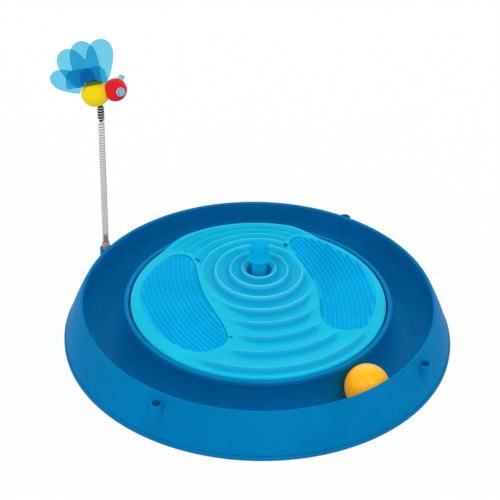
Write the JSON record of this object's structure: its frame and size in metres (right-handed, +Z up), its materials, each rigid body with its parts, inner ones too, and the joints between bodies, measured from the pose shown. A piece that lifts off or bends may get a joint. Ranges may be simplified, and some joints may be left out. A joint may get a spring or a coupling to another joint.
{
  "type": "cat scratcher toy",
  "caption": "Round cat toy with a ball in a covered-edge track, a rippled bristle massage disc over a catnip tray, and a bee with film wings on a spring mast.",
  "frame": {"origin": "centre of the flat underside of the base plate", "axes": "+Z up out of the disc, -Y towards the front of the toy, +X to the right"},
  "size_m": [0.379, 0.365, 0.2559],
  "materials": {
    "blue_shell": "smooth moulded plastic, satin to gloss",
    "cyan_deck": "satin moulded plastic",
    "soft_bristle": "soft matte rubber",
    "ball_shell": "glossy blown plastic",
    "foot_rubber": "matte rubber",
    "steel": "bright drawn wire",
    "grey_plug": "satin plastic",
    "black_plug": "satin plastic",
    "yellow_felt": "short felt pile",
    "red_felt": "short felt pile",
    "eye_white": "satin foam",
    "eye_blue": "satin foam",
    "wing_film": "clear tinted film"
  },
  "bodies": {
    "base": {"base_plate": "blue_shell", "track_wall": "blue_shell", "centre_hub": "blue_shell", "foot_pad_1": "foot_rubber", "foot_pad_2": "foot_rubber", "foot_pad_3": "foot_rubber", "foot_pad_4": "foot_rubber", "hub_screw_1": "steel", "hub_screw_2": "steel", "hub_screw_3": "steel", "hub_screw_4": "steel"},
    "massager": {"massage_disc": "cyan_deck", "left_bristle_pad": "soft_bristle", "right_bristle_pad": "soft_bristle", "centre_nub": "soft_bristle"},
    "ball": {"ball_upper_half": "ball_shell", "ball_lower_half": "ball_shell"},
    "mast": {"spring_foot": "grey_plug", "spring": "steel"},
    "bee": {"spring_plug": "black_plug", "bee_body": "yellow_felt", "bee_head": "red_felt", "left_eye_ring": "eye_white", "left_eye_peg": "eye_blue", "right_eye_ring": "eye_white", "right_eye_peg": "eye_blue"},
    "left_wing": {"left_wing_film": "wing_film"},
    "right_wing": {"right_wing_film": "wing_film"}
  },
  "joints": [
    {"name": "ball_orbit", "type": "hinge", "parent": "base", "child": "ball", "pos_m": [0, 0, 0], "axis": [0, 0, 1], "continuous": true},
    {"name": "massager_lift", "type": "slide", "parent": "base", "child": "massager", "axis": [0, 0, 1], "range_m": [0, 0.06]},
    {"name": "mast_turn", "type": "hinge", "parent": "base", "child": "mast", "pos_m": [-0.15081, 0.08567, 0.022], "axis": [0, 0, 1], "continuous": true},
    {"name": "bee_sway", "type": "hinge", "parent": "mast", "child": "bee", "pos_m": [-0.15081, 0.08567, 0.095], "axis": [0, 1, 0], "range_deg": [-45, 45], "stiffness_Nm_per_rad": 0.08, "deforming": ["spring"]},
    {"name": "left_wing_flap", "type": "hinge", "parent": "bee", "child": "left_wing", "pos_m": [-0.15721, 0.08507, 0.21729], "axis": [0.9781, 0, 0.2079], "range_deg": [-8, 8], "stiffness_Nm_per_rad": 0.003},
    {"name": "right_wing_flap", "type": "hinge", "parent": "bee", "child": "right_wing", "pos_m": [-0.15721, 0.08347, 0.21729], "axis": [0.9781, 0, 0.2079], "range_deg": [-8, 8], "stiffness_Nm_per_rad": 0.003}
  ]
}
